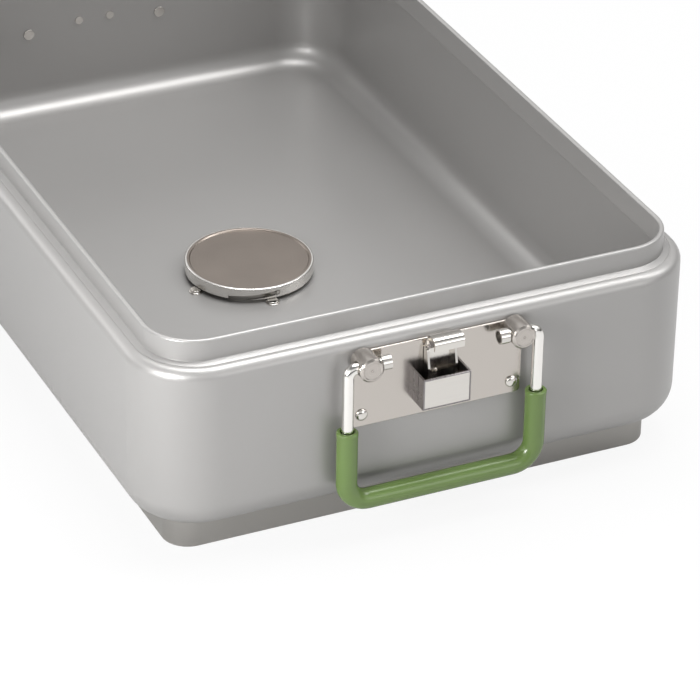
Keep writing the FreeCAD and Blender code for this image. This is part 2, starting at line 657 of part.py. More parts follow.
def handle_grip(end):
    """Sleeve over the lower part of the wire, with widened open mouths."""
    body = add_body(f"{end}_handle_grip")
    path = handle_path(body, "-grip_drop", closed_ends=False)
    for name, radius, kind in (("outside", "grip_radius", "AdditivePipe"),
                               ("inside", "wire_radius + fit", "SubtractivePipe")):
        section = add_sketch(body, name, offset="-grip_drop")
        draw_circle(section, radius, "-handle_span / 2")
        add_pipe(body, f"{name}_pipe", section, path, kind)
    mouths = add_sketch(body, "mouths", offset="-grip_drop")
    for side in ("", "-"):
        draw_circle(mouths, "wire_radius + grip_mouth", f"{side}handle_span / 2")
    add_pocket(body, "mouths_cut", mouths, "grip_mouth_depth")
    place_at_end(body, end, off="wire_off", z=POST_LEVEL)
    return body


def handle_collars(end):
    body = add_body(f"{end}_handle_collars")
    inner = f"({POST_X} - post_radius - collar_gap)"
    sketch = add_sketch(body, "plan", "YZ_Plane", offset=inner)
    draw_circle(sketch, "collar_radius")
    draw_circle(sketch, "wire_radius + fit")
    pad = add_pad(body, "collar", sketch, "collar_length")
    pad.Reversed = True
    add_copies(body, "pair", [pad], "Mirrored", mirror_across)
    place_at_end(body, end, off="wire_off", z=POST_LEVEL)
    return body


def lock_housing(end):
    body = add_body(f"{end}_lock_housing")
    front = "(plate_sheet + lock_depth)"
    inner = "(lock_width / 2 - lock_wall)"
    plan = add_sketch(body, "plan", offset=LOCK_LOW)
    draw_box(plan, "-lock_width / 2", "lock_width / 2", f"-{front}", "-plate_sheet")
    block = add_pad(body, "block", plan, "lock_height")
    forward = facing_at(f"-{front}")
    add_rounding(body, "edges", block, "lock_edge", forward)
    recess = add_sketch(body, "recess", offset=LOCK_TOP)
    draw_box(recess, f"-{inner}", inner, f"-({front} - lock_wall)", "0")
    add_pocket(body, "recess_cut", recess, "lock_height - lock_floor")
    face = add_sketch(body, "face", "XZ_Plane", offset=front)
    draw_box(face, "-lock_width / 2 + face_border", "lock_width / 2 - face_border",
             f"{LOCK_LOW} + face_border", f"{LOCK_TOP} - face_border")
    add_pocket(body, "face_cut", face, "face_inset")
    seams = add_sketch(body, "seams", offset=LOCK_TOP)
    for side in ("", "-"):
        edge, root = f"{side}(lock_width / 2 + seam_depth)", f"{side}(lock_width / 2 - seam_depth)"
        draw_box(seams, root, edge, "-(plate_sheet + seam_off + seam_width)", "-(plate_sheet + seam_off)")
    add_pocket(body, "seams_cut", seams, "lock_height")
    seats = add_sketch(body, "pivot_seats", "YZ_Plane")
    draw_circle(seats, "pivot_radius + fit", f"-{PIVOT_OFF}", PIVOT_LEVEL)
    add_pocket(body, "pivot_seats_cut", seats, f"2 * ({inner} + pivot_seat)", both_ways=True)
    rivets = add_sketch(body, "rivet_holes", "XZ_Plane", offset="plate_sheet")
    for side in ("", "-"):
        draw_circle(rivets, "lock_rivet_shank + fit", f"{side}lock_rivet_span / 2", LOCK_RIVET_LEVEL)
    add_pocket(body, "rivet_holes_cut", rivets, "lock_rivet_bite + seat_gap", reverse=True)
    guide = add_sketch(body, "plunger_guide", offset=LOCK_FLOOR)
    draw_circle(guide, "plunger_stem + fit", "0", f"-{PLUNGER_OFF}")
    add_pocket(body, "plunger_guide_cut", guide, "lock_floor")
    place_at_end(body, end)
    return body


def lock_face_plate(end):
    body = add_body(f"{end}_lock_face_plate")
    sketch = add_sketch(body, "outline", "XZ_Plane", offset="plate_sheet + lock_depth - face_inset")
    margin = "(face_border + fit)"
    draw_box(sketch, f"-lock_width / 2 + {margin}", f"lock_width / 2 - {margin}",
             f"{LOCK_LOW} + {margin}", f"{LOCK_TOP} - {margin}")
    add_pad(body, "sheet", sketch, "face_sheet")
    place_at_end(body, end)
    return body


def lock_hook(end):
    """Bent hook: a web that leans out to a nose with a turned-down lip, and two flanges that
    carry the pivot. Heights are measured from the pivot axis."""
    body = add_body(f"{end}_lock_hook")
    back = "(plate_sheet + hook_gap)"
    line = f"({back} + hook_sheet / 2)"
    path = add_sketch(body, "path", "YZ_Plane")
    draw_chain(path, [
        (f"-{line}", f"{PIVOT_LEVEL} + hook_web_start"),
        (f"-{line}", f"{PIVOT_LEVEL} + hook_web_top", "hook_bend"),
        ("-(plate_sheet + hook_knee_off)", f"{PIVOT_LEVEL} + hook_knee_rise", "hook_bend * 0.8"),
        ("-(plate_sheet + hook_nose_off)", f"{PIVOT_LEVEL} + hook_nose_rise", "hook_bend"),
        ("-(plate_sheet + hook_lip_off)", f"{PIVOT_LEVEL} + hook_lip_rise")], closed=False)
    document.recompute()
    section = add_sketch(body, "section", offset=f"{PIVOT_LEVEL} + hook_web_start")
    draw_box(section, "-hook_width / 2", "hook_width / 2", f"-({back} + hook_sheet)", f"-{back}")
    add_pipe(body, "strip", section, path)
    low = f"{PIVOT_LEVEL} - hook_eye"
    rear, fore = f"-({PIVOT_OFF} - hook_eye)", f"-({PIVOT_OFF} + hook_eye)"
    flange = add_sketch(body, "flange", "YZ_Plane", offset="hook_width / 2 - hook_sheet")
    draw_chain(flange, [
        (rear, low, "hook_eye * 0.9"), (fore, low, "hook_eye * 0.9"),
        (fore, f"{PIVOT_LEVEL} + hook_flange_shoulder", "2 * hook_eye"),
        (f"-({back} + hook_flange_tip)", f"{PIVOT_LEVEL} + hook_flange_top", "hook_eye * 0.6"),
        (f"-{back}", f"{PIVOT_LEVEL} + hook_flange_top"),
        (f"-{back}", f"{PIVOT_LEVEL} + hook_web_start")])
    draw_circle(flange, "pivot_radius + fit", f"-{PIVOT_OFF}", PIVOT_LEVEL)
    side = add_pad(body, "flange_sheet", flange, "hook_sheet")
    add_copies(body, "flanges", [side], "Mirrored", mirror_across)
    place_at_end(body, end)
    return body


def lock_pivot_pin(end):
    body = add_body(f"{end}_lock_pivot_pin")
    sketch = add_sketch(body, "section", "YZ_Plane")
    draw_circle(sketch, "pivot_radius")
    add_pad(body, "pin", sketch, "lock_width - 2 * lock_wall + 2 * (pivot_seat - fit)", both_ways=True)
    place_at_end(body, end, off=PIVOT_OFF, z=PIVOT_LEVEL)
    return body


def lock_hook_spring(end):
    body = add_body(f"{end}_lock_hook_spring")
    add_coil(body, "hook_coil", "hook_coil_pitch", "hook_coil_length")
    lying = FreeCAD.Rotation(FreeCAD.Vector(0, 1, 0), 90)
    place_at_end(body, end, x="-hook_coil_length / 2", off=PIVOT_OFF, z=PIVOT_LEVEL, turn=lying)
    return body


def thermal_strip(end):
    body = add_body(f"{end}_thermal_strip")
    sketch = add_sketch(body, "plan", offset=f"{LOCK_TOP} - strip_top - strip_height")
    inner = "(plate_sheet + lock_depth - lock_wall)"
    draw_box(sketch, "strip_start", "lock_width / 2 - lock_wall", f"-{inner}", f"-({inner} - strip_depth)")
    add_pad(body, "strip", sketch, "strip_height")
    place_at_end(body, end)
    return body


def lock_plunger(end):
    body = add_body(f"{end}_lock_plunger")
    sketch = add_sketch(body, "profile", "XZ_Plane")
    top = f"({LOCK_TOP} - plunger_top)"
    under = f"({top} - plunger_head_height)"
    foot = f"({LOCK_FLOOR} - plunger_reach)"
    draw_chain(sketch, [("0", foot), ("plunger_stem", foot), ("plunger_stem", under),
                        ("plunger_head", under), ("plunger_head", top, "plunger_head * 0.5"), ("0", top)])
    add_turned(body, "turned", sketch, "V_Axis")
    place_at_end(body, end, off=PLUNGER_OFF)
    return body


def plunger_spring(end):
    body = add_body(f"{end}_plunger_spring")
    free = f"({LOCK_TOP} - plunger_top - plunger_head_height - {LOCK_FLOOR})"
    add_coil(body, "plunger_coil", "plunger_coil_pitch", f"{free} - 2 * seat_gap")
    place_at_end(body, end, off=PLUNGER_OFF, z=f"{LOCK_FLOOR} + seat_gap")
    return body


def drain_cap():
    """Pressed cap with a raised bead, a boss, a gasket rib and three rising bayonet slots."""
    body = add_body("drain_cap")
    profile = add_sketch(body, "profile", "XZ_Plane")
    under = "(cap_top - cap_sheet)"
    bead_in = "(cap_radius + bead_swell - bead_width)"
    bead_top = "(cap_top + bead_rise)"
    rib = "((gasket_inner + gasket_outer) / 2)"
    rib_low = "(ring_flange + gasket_height + carrier_height + 2 * seat_gap)"
    draw_chain(profile, [
        ("valve_stem + fit", "cap_top - cap_sheet"), ("valve_stem + fit", f"{under} - boss_height"),
        ("boss_radius", f"{under} - boss_height"), ("boss_radius", under),
        (f"{rib} - cap_sheet / 2", under), (f"{rib} - cap_sheet / 2", rib_low),
        (f"{rib} + cap_sheet / 2", rib_low), (f"{rib} + cap_sheet / 2", under),
        ("cap_radius - cap_sheet", under), ("cap_radius - cap_sheet", "cap_gap"),
        ("cap_radius", "cap_gap"), ("cap_radius", f"{bead_top} - bead_height - bead_swell"),
        ("cap_radius + bead_swell", f"{bead_top} - bead_height"),
        ("cap_radius + bead_swell", bead_top, "bead_rounding"),
        (bead_in, bead_top, "bead_rounding * 0.5"), (f"{bead_in} - bead_rise", "cap_top"),
        ("0", "cap_top"), ("0", "cap_top - cap_sheet")])
    add_turned(body, "pressed", profile, "V_Axis")
    slot = add_sketch(body, "slot", "XZ_Plane")
    half = "(bayonet_pin + bayonet_play)"
    run = "(cap_radius * sin(bayonet_turn))"
    draw_chain(slot, [
        (f"-{run}", f"bayonet_level - bayonet_lift - {half}"),
        (half, f"bayonet_level - {half}", f"{half} * 0.8"),
        (half, f"bayonet_level + {half}", f"{half} * 0.8"),
        ("0", f"bayonet_level + {half}"),
        (f"-{run}", f"bayonet_level - bayonet_lift + {half}")])
    cut = add_pocket(body, "slot_cut", slot, "2 * cap_radius", reverse=True)
    document.recompute()
    add_copies(body, "slots", [cut], "PolarPattern", three_around)
    place_in_drain(body, angle=90.0 + value("bayonet_angle"))
    return body


def drain_base_ring():
    body = add_body("drain_base_ring")
    profile = add_sketch(body, "profile", "XZ_Plane")
    draw_chain(profile, [
        ("drain_bore", "0"), ("ring_radius", "0"), ("ring_radius", "ring_height"),
        ("ring_radius - ring_sheet", "ring_height"), ("ring_radius - ring_sheet", "ring_flange"),
        ("drain_bore", "ring_flange")])
    add_turned(body, "pressed", profile, "V_Axis")
    seat = add_sketch(body, "pin_hole", "XZ_Plane")
    draw_circle(seat, "bayonet_pin + fit", "0", "bayonet_level")
    hole = add_pocket(body, "pin_hole_cut", seat, "2 * ring_radius", reverse=True)
    document.recompute()
    add_copies(body, "pin_holes", [hole], "PolarPattern", three_around)
    rivets = add_sketch(body, "rivet_holes")
    for number in range(3):
        angle = f"({120 * number} - 30)"
        draw_circle(rivets, "ring_rivet_shank + fit", f"ring_rivet_circle * cos({angle})",
                    f"ring_rivet_circle * sin({angle})")
    add_pocket(body, "rivet_holes_cut", rivets, "ring_flange", reverse=True)
    place_in_drain(body, angle=90.0 + value("bayonet_angle"))
    return body


def drain_bayonet_pins():
    body = add_body("drain_bayonet_pins")
    start = "(ring_radius - ring_sheet)"
    sketch = add_sketch(body, "section", "XZ_Plane", offset=start)
    draw_circle(sketch, "bayonet_pin", "0", "bayonet_level")
    pin = add_pad(body, "pin", sketch, f"cap_radius - {start}")
    document.recompute()
    add_copies(body, "pins", [pin], "PolarPattern", three_around)
    place_in_drain(body, angle=90.0 + value("bayonet_angle"))
    return body


def drain_ring_rivets():
    body = add_body("drain_ring_rivets")
    low, top = "-wall - rivet_tail", "ring_flange + rivet_tail"
    heads = add_sketch(body, "low_heads", offset=low)
    shanks = add_sketch(body, "shanks", offset=low)
    uppers = add_sketch(body, "top_heads", offset="ring_flange")
    for number in range(3):
        angle = f"({120 * number} - 30)"
        x, y = f"ring_rivet_circle * cos({angle})", f"ring_rivet_circle * sin({angle})"
        draw_circle(heads, "ring_rivet_head", x, y)
        draw_circle(shanks, "ring_rivet_shank", x, y)
        draw_circle(uppers, "ring_rivet_head", x, y)
    add_pad(body, "low", heads, "rivet_tail")
    add_pad(body, "shank", shanks, f"{top} - ({low})")
    add_pad(body, "top", uppers, "rivet_tail")
    place_in_drain(body, angle=90.0 + value("bayonet_angle"))
    return body


def drain_support_studs():
    body = add_body("drain_support_studs")
    low = "-wall - rivet_tail"
    levels = [("low", low, "ring_rivet_head", "rivet_tail"),
              ("shank", low, "ring_rivet_shank", "wall + rivet_tail + support_height"),
              ("foot", "0", "support_foot", "support_foot_height"),
              ("top", "0", "support_radius", "support_height")]
    for name, level, radius, height in levels:
        sketch = add_sketch(body, name, offset=level)
        for angle in SUPPORT_ANGLES:
            draw_circle(sketch, radius, f"support_circle * cos({angle})", f"support_circle * sin({angle})")
        add_pad(body, f"{name}_pad", sketch, height)
    place_in_drain(body)
    return body


def drain_gasket():
    body = flat_ring("drain_gasket", "gasket_inner", "gasket_outer", "gasket_height")
    place_in_drain(body, "ring_flange + seat_gap")
    return body


def gasket_carrier():
    body = add_body("gasket_carrier")
    profile = add_sketch(body, "profile", "XZ_Plane")
    inner, outer = "(gasket_inner - carrier_margin)", "(gasket_outer + carrier_margin)"
    top = "(gasket_height + carrier_height)"
    draw_chain(profile, [
        ("gasket_inner - fit", "gasket_height"), ("gasket_inner - fit", "gasket_height / 2"),
        (inner, "gasket_height / 2"), (inner, top), (outer, top), (outer, "gasket_height / 2"),
        ("gasket_outer + fit", "gasket_height / 2"), ("gasket_outer + fit", "gasket_height")])
    add_turned(body, "pressed", profile, "V_Axis")
    place_in_drain(body, "ring_flange + seat_gap")
    return body


def valve_seal():
    body = flat_ring("valve_seal", "valve_radius - valve_seal_width - fit", "valve_radius - fit",
                     "valve_seal_height")
    place_in_drain(body, "ring_flange + seat_gap")
    return body


def valve_disc():
    body = add_body("valve_disc")
    profile = add_sketch(body, "profile", "XZ_Plane")
    stem_top = "(valve_sheet + valve_stem_height)"
    draw_chain(profile, [("0", "0"), ("valve_radius", "0"), ("valve_radius", "valve_sheet"),
                         ("valve_stem", "valve_sheet"), ("valve_stem", stem_top), ("0", stem_top)])
    add_turned(body, "turned", profile, "V_Axis")
    place_in_drain(body, "ring_flange + seat_gap + valve_seal_height")
    return body


def bimetal_disc():
    body = flat_ring("bimetal_disc", "bimetal_inner", "bimetal_outer", "bimetal_sheet")
    place_in_drain(body, "ring_flange + 2 * seat_gap + valve_seal_height + valve_sheet")
    return body


def valve_spring():
    body = add_body("valve_spring")
    low = "(ring_flange + 3 * seat_gap + valve_seal_height + valve_sheet + bimetal_sheet)"
    add_coil(body, "valve_coil", "valve_coil_pitch", f"cap_top - cap_sheet - seat_gap - {low}")
    place_in_drain(body, low)
    return body


parts = [tub_shell(), foot_frame(), drain_base_ring(), drain_bayonet_pins(), drain_ring_rivets(),
         drain_support_studs(), drain_cap(), drain_gasket(), gasket_carrier(), valve_disc(),
         valve_seal(), bimetal_disc(), valve_spring()]
for end in ("front", "rear"):
    parts += [handle_plate(end), plate_rivets(end), handle_post(end, "left"), handle_post(end, "right"),
              post_washers(end), handle_wire(end), handle_grip(end), handle_collars(end),
              lock_housing(end), lock_rivets(end), lock_face_plate(end), lock_hook(end),
              lock_pivot_pin(end), lock_hook_spring(end), thermal_strip(end), lock_plunger(end),
              plunger_spring(end)]
document.recompute()

for thing in document.Objects:
    if "Invalid" in thing.State or "Error" in thing.State:
        raise RuntimeError(f"{thing.Name} failed: {thing.getStatusString()}")
for part in parts:
    if part.Shape.isNull() or not part.Shape.isValid() or not part.Shape.Solids:
        raise RuntimeError(f"{part.Label} has no valid solid")

os.makedirs("parts", exist_ok=True)
for part in parts:
    part.Shape.exportStep(f"parts/{part.Label}.step")
    print(part.Label, len(part.Shape.Solids), "solids", round(part.Shape.Volume, 1), "mm3")
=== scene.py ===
import math

import bmesh
import bpy
from mathutils import Matrix, Vector


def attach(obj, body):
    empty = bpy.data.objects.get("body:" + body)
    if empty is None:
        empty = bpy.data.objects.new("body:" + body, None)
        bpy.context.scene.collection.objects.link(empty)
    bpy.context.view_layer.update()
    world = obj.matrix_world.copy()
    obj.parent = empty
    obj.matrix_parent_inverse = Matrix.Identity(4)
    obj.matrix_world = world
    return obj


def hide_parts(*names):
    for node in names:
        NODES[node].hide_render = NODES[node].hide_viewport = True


bl_info = {
    "name": "Sterilization Container Base",
    "version": (1, 0, 0),
    "blender": (4, 5, 0),
    "location": "View3D > Sidebar > Container",
    "description": "Finishes the base of a sterilization container and sets its studio",
    "category": "Object",
}

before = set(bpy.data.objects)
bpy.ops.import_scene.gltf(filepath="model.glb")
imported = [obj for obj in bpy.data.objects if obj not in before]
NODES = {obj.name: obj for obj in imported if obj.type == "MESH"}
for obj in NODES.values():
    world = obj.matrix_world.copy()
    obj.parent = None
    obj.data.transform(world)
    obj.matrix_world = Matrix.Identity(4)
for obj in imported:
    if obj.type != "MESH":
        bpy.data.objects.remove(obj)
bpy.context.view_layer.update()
ENDS = {"front": -1, "rear": 1}
MM = 0.001
ALONG_X, ALONG_Z = (1, 0, 0), (0, 0, 1)
SHARP_ANGLE = 32.0
FLAT_ANGLE = 0.6
WELD = 0.001 * MM
PAN_SHEET = 2.0
CORNER_STEPS = 14
BEND_STEPS = 12

# name, place in metres, width and height in metres, power in watts
LAMPS = (
    ("overhead", (0.08, 0.15, 1.2), 0.7, 0.6, 10.0),
    ("long strip", (0.78, -0.25, 1.75), 0.6, 2.3, 30.0),
    ("left corner", (-0.50, -0.41, 0.26), 0.20, 0.20, 3.4),
    ("front", (0.85, -1.90, 0.55), 1.0, 0.7, 5.0),
    ("rear left", (-1.3, 2.0, 0.8), 1.6, 1.0, 10.0),
)


# Shader sockets as values

class Wire:
    """One output socket. Arithmetic on it adds Math nodes to its material."""

    def __init__(self, shader, socket):
        self.shader = shader
        self.socket = socket

    def __add__(self, other):
        return self.shader.math("ADD", self, other)

    __radd__ = __add__

    def __sub__(self, other):
        return self.shader.math("SUBTRACT", self, other)

    def __mul__(self, other):
        return self.shader.math("MULTIPLY", self, other)

    __rmul__ = __mul__

    def clamp(self):
        return self.shader.node("ShaderNodeClamp", Value=self)


class Shader:
    """A material and its node tree, ended by a Principled surface."""

    def __init__(self, name):
        self.material = bpy.data.materials.new(name)
        self.material.use_nodes = True
        self.tree = self.material.node_tree
        self.tree.nodes.clear()

    def node(self, kind, settings=None, output=0, **sockets):
        """Adds a node: first its settings, then the values or links of its sockets."""
        made = self.tree.nodes.new(kind)
        for name, setting in (settings or {}).items():
            setattr(made, name, setting)
        for name, given in sockets.items():
            socket = made.inputs[int(name[1:])] if name[1:].isdigit() else made.inputs[name.replace("_", " ")]
            if isinstance(given, Wire):
                self.tree.links.new(given.socket, socket)
            else:
                socket.default_value = given
        return Wire(self, made.outputs[output]) if made.outputs else None

    def math(self, operation, a, b):
        return self.node("ShaderNodeMath", {"operation": operation}, s0=a, s1=b)

    def place(self):
        return self.node("ShaderNodeTexCoord", output=3)

    def noise(self, vector, scale, detail=3.0, roughness=0.5):
        return self.node("ShaderNodeTexNoise", Vector=vector, Scale=scale, Detail=detail, Roughness=roughness)

    def stretched(self, x, y, z):
        """Object coordinates scaled by axis, for grain that runs one way."""
        return self.node("ShaderNodeMapping", Vector=self.place(), Scale=(x, y, z))

    def from_axis(self, axis):
        """Distance from an axis through the origin."""
        flat = self.node("ShaderNodeVectorMath", {"operation": "MULTIPLY"}, s0=self.place(),
                         s1=[0.0 if part else 1.0 for part in axis])
        return self.node("ShaderNodeVectorMath", {"operation": "LENGTH"}, output=1, s0=flat)

    def rings(self, radius, scale):
        """Noise along a radius: the fine rings of turned and spun steel."""
        return self.node("ShaderNodeTexNoise", {"noise_dimensions": "1D"}, W=radius, Scale=scale, Detail=3.0)

    def blend(self, factor, first, second):
        return self.node("ShaderNodeMix", {"data_type": "RGBA"}, output=2, s0=factor, s6=first, s7=second)

    def shaded(self, factor, shade, dark):
        """A shade that falls to a share of itself where the factor is low."""
        return self.blend(factor, tone(*[channel * dark for channel in shade]), tone(*shade))

    def bump(self, height, strength, distance):
        return self.node("ShaderNodeBump", Height=height, Strength=strength, Distance=distance)

    def surface(self, **sockets):
        principled = self.node("ShaderNodeBsdfPrincipled", **sockets)
        self.node("ShaderNodeOutputMaterial", Surface=principled)
        return self.material


def tone(red, green, blue):
    return (red, green, blue, 1.0)


def anodised_aluminium(look):
    """Matt anodised sheet: a very fine etched grain with faint cloudy patches."""
    shader = Shader("anodised aluminium")
    grain = shader.noise(shader.place(), 2600.0, 2.0)
    clouds = shader.noise(shader.place(), 9.0, 4.0)
    return shader.surface(
        Base_Color=shader.shaded(clouds, look.aluminium, 0.94), Metallic=0.5,
        Roughness=0.34 + 0.06 * clouds + 0.05 * grain, Normal=shader.bump(grain, 0.12, 0.02 * MM))


def brushed_steel(name, shade, roughness, grain, depth, contrast):
    """Sheet steel with streaks: grain is their count per metre on each axis, so they run along the lowest."""
    shader = Shader(name)
    streaks = shader.noise(shader.stretched(*grain), 1.0, 4.0, 0.65)
    return shader.surface(
        Base_Color=shader.shaded(streaks, shade, 1 - contrast), Metallic=1.0,
        Roughness=roughness + 0.12 * (streaks - 0.5), Normal=shader.bump(streaks, depth, 0.01 * MM))


def turned_steel(name, shade, roughness, axis):
    """Turned or spun steel: fine rings about an axis through the origin."""
    shader = Shader(name)
    rings = shader.rings(shader.from_axis(axis), 2200.0)
    smudges = shader.noise(shader.place(), 60.0)
    return shader.surface(
        Base_Color=shader.shaded(rings, shade, 0.88), Metallic=1.0,
        Roughness=roughness + 0.14 * (rings - 0.5) + 0.05 * smudges, Normal=shader.bump(rings, 0.15, 0.01 * MM))


def drain_cap_steel(look, size):
    """Spun steel: a darker face with fine rings inside a bright bead and skirt."""
    shader = Shader("drain cap steel")
    radius = shader.from_axis(ALONG_Z)
    rings = shader.rings(radius, 2600.0)
    smudges = shader.noise(shader.place(), 45.0, 4.0)
    worn = (0.6 * smudges + 0.6 * rings - 0.1).clamp()
    face = shader.shaded(worn, look.drain, 0.66)
    rim_change = 0.4 * MM
    rim = ((radius - size.cap_face) * (1 / rim_change)).clamp()
    return shader.surface(
        Base_Color=shader.blend(rim, face, tone(*look.wire)), Metallic=1.0,
        Roughness=0.24 + 0.10 * rings + 0.14 * smudges - 0.10 * rim, Normal=shader.bump(rings, 0.2, 0.01 * MM))


def sleeve_silicone(look):
    """Glossy green silicone with a little mottling."""
    shader = Shader("green sleeve silicone")
    mottle = shader.noise(shader.place(), 120.0)
    return shader.surface(
        Base_Color=shader.shaded(mottle, look.sleeve, 0.93), Roughness=0.20 + 0.08 * mottle,
        Specular_IOR_Level=0.55, Subsurface_Weight=0.06, Subsurface_Radius=(2 * MM, 4 * MM, 1 * MM),
        Subsurface_Scale=0.5, Normal=shader.bump(mottle, 0.05, 0.1 * MM))


def seal_rubber(look):
    """Matt grey rubber with fine specks."""
    shader = Shader("seal rubber")
    specks = shader.noise(shader.place(), 400.0, 2.0)
    return shader.surface(
        Base_Color=shader.shaded(specks, look.rubber, 0.9), Roughness=0.6 + 0.1 * specks,
        Normal=shader.bump(specks, 0.2, 0.05 * MM))


def bimetal_strip():
    """Rolled bimetal with straw-coloured heat tint in patches."""
    shader = Shader("bimetal")
    tint = shader.noise(shader.place(), 140.0)
    plain, straw = tone(0.62, 0.60, 0.56), tone(0.66, 0.58, 0.44)
    return shader.surface(
        Base_Color=shader.blend(tint, plain, straw), Metallic=1.0, Roughness=0.25 + 0.1 * tint)


# Mesh helpers

def mesh_object(name, vertices, faces):
    mesh = bpy.data.meshes.new(name)
    mesh.from_pydata([tuple(point) for point in vertices], [], faces)
    made = bpy.data.objects.new(name, mesh)
    bpy.context.scene.collection.objects.link(made)
    return made


def finished(piece, material, sharp_angle=SHARP_ANGLE, bevel=0.0):
    """Smooth shading that keeps flat faces flat, with an optional fine bevel, as a plain mesh."""
    piece.data.materials.clear()
    piece.data.materials.append(material)
    piece.data.shade_smooth()
    piece.data.set_sharp_from_angle(angle=math.radians(sharp_angle))
    if bevel:
        edges = piece.modifiers.new("edges", "BEVEL")
        edges.width = bevel
        edges.segments = 2
        edges.limit_method = "ANGLE"
        edges.angle_limit = math.radians(sharp_angle)
        edges.harden_normals = True
    normals = piece.modifiers.new("normals", "WEIGHTED_NORMAL")
    normals.keep_sharp = True
    return applied(piece)


def applied(piece):
    """Replaces a piece's mesh by its evaluated one and removes its modifiers."""
    bpy.context.view_layer.update()
    evaluated = piece.evaluated_get(bpy.context.evaluated_depsgraph_get())
    mesh = bpy.data.meshes.new_from_object(evaluated, preserve_all_data_layers=True,
                                           depsgraph=bpy.context.evaluated_depsgraph_get())
    old = piece.data
    piece.modifiers.clear()
    piece.data = mesh
    bpy.data.meshes.remove(old)
    mesh.name = piece.name
    return piece


def arc(centre, radius, start, end, steps):
    """Points of an arc in a profile plane, angles in degrees."""
    points = []
    for step in range(steps + 1):
        angle = math.radians(start + (end - start) * step / steps)
        points.append((centre[0] + radius * math.cos(angle), centre[1] + radius * math.sin(angle)))
    return points


def rounded_ring(width, length, radius, level):
    """A level loop with rounded corners, from the right front corner anticlockwise."""
    points = []
    for corner, (side, way) in enumerate(((1, -1), (1, 1), (-1, 1), (-1, -1))):
        middle = (side * (width / 2 - radius), way * (length / 2 - radius))
        for x, y in arc(middle, radius, 90 * corner - 90, 90 * corner, CORNER_STEPS):
            points.append((x, y, level))
    return points


def lofted(name, rings):
    """A closed skin through loops of equal counts, the last one joined to the first, in metres."""
    count = len(rings[0])
    vertices = [Vector(point) * MM for ring in rings for point in ring]
    faces = []
    for ring in range(len(rings)):
        here, there = ring * count, (ring + 1) % len(rings) * count
        for index in range(count):
            after = (index + 1) % count
            faces.append((here + index, here + after, there + after, there + index))
    return mesh_object(name, vertices, faces)


# Sizes and colours that a user would change

def colour(name, description, default):
    return bpy.props.FloatVectorProperty(
        name=name, description=description, subtype="COLOR", size=3, min=0.0, max=1.0, default=default)


def distance(name, description, millimetres):
    return bpy.props.FloatProperty(
        name=name, description=description, subtype="DISTANCE", unit="LENGTH", min=0.0,
        default=millimetres * MM)


class ContainerColours(bpy.types.PropertyGroup):
    """Colours of the finishes."""

    aluminium: colour("Aluminium", "Matt anodised sheet of the pan", (0.34, 0.333, 0.326))
    foot: colour("Foot", "Plain sheet of the foot frame", (0.36, 0.348, 0.33))
    wire: colour("Wire steel", "Polished wire of the handles", (0.86, 0.84, 0.81))
    steel: colour("Steel", "Bright steel of rivets, hooks and pins", (0.69, 0.665, 0.63))
    plate: colour("Plate steel", "Satin steel of the handles' plates and posts", (0.53, 0.495, 0.46))
    lock: colour("Lock steel", "Darker steel of the lid locks", (0.27, 0.253, 0.257))
    drain: colour("Drain face", "Spun face of the drain cap", (0.36, 0.312, 0.275))
    sleeve: colour("Sleeve", "Silicone sleeves of the handles", (0.108, 0.170, 0.046))
    rubber: colour("Seals", "Seals under the drain cap", (0.50, 0.48, 0.45))
    backdrop: colour("Backdrop", "Floor under the container", (0.55, 0.55, 0.55))


class ContainerSizes(bpy.types.PropertyGroup):
    """Sizes of the pieces that stand for solids, as the solids have them."""

    width: distance("Width", "Outside width of the pan", 280.0)
    length: distance("Length", "Outside length of the pan", 430.4)
    height: distance("Height", "Rim above the table", 113.0)
    foot_height: distance("Foot height", "Height of the foot frame", 15.5)
    corner: distance("Corner", "Radius of the upright corners", 33.6)
    base_radius: distance("Base radius", "Radius between wall and floor", 15.0)
    shoulder: distance("Shoulder", "Radius of the shoulder below the ledge", 5.2)
    bore: distance("Drain opening", "Radius of the opening in the floor", 11.0)
    cap_face: distance("Drain face", "Radius of the drain cap's face inside its bead", 31.6)
    pivot_level: distance("Handle pivot", "Handle pivot above the table", 92.1)
    handle_span: distance("Handle span", "Distance between the handle's legs", 96.0)
    post_place: distance("Post place", "Axes of the handle posts from the middle", 38.3)
    handle_drop: distance("Handle drop", "Handle bar below the pivot", 70.7)
    wire: distance("Wire", "Radius of the handle wire", 2.75)
    wire_off: distance("Wire place", "Wire in front of the wall", 7.8)
    wire_end: distance("Wire ends", "Ends of the wire from the middle", 31.9)
    top_bend: distance("Upper bend", "Bend radius of the wire at the pivots", 4.0)
    low_bend: distance("Lower bend", "Bend radius of the wire at the bar", 11.0)
    sleeve: distance("Sleeve", "Radius of the sleeve", 5.0)
    sleeve_drop: distance("Sleeve drop", "Upper end of the sleeve below the pivot", 32.4)
    plate: distance("Plate", "Sheet of the plates behind the handles", 1.5)
    rivet_spacing: distance("Rivet spacing", "Distance between the rivets of a plate", 76.2)
    rivet_level: distance("Rivet level", "Rivets of a plate above the table", 62.8)
    rivet_head: distance("Rivet head", "Radius of the domed heads", 3.0)
    rivet_dome: distance("Rivet dome", "Height of the domed heads", 1.7)
    rivet_tail: distance("Rivet tail", "Height of the closing heads inside the pan", 0.8)


def colours():
    return bpy.context.scene.container_colours


def sizes():
    return bpy.context.scene.container_sizes


# Finishes that follow a piece's own place, and the studio

def foot_sheet(look):
    """Plain rolled sheet of the foot: brighter than the pan, with faint level rolling lines."""
    shader = Shader("foot aluminium")
    lines = shader.noise(shader.stretched(8.0, 8.0, 900.0), 1.0, 3.0, 0.6)
    clouds = shader.noise(shader.place(), 14.0)
    return shader.surface(
        Base_Color=shader.shaded(clouds, look.foot, 0.93), Metallic=0.9, Roughness=0.34 + 0.08 * lines,
        Normal=shader.bump(lines, 0.12, 0.02 * MM))


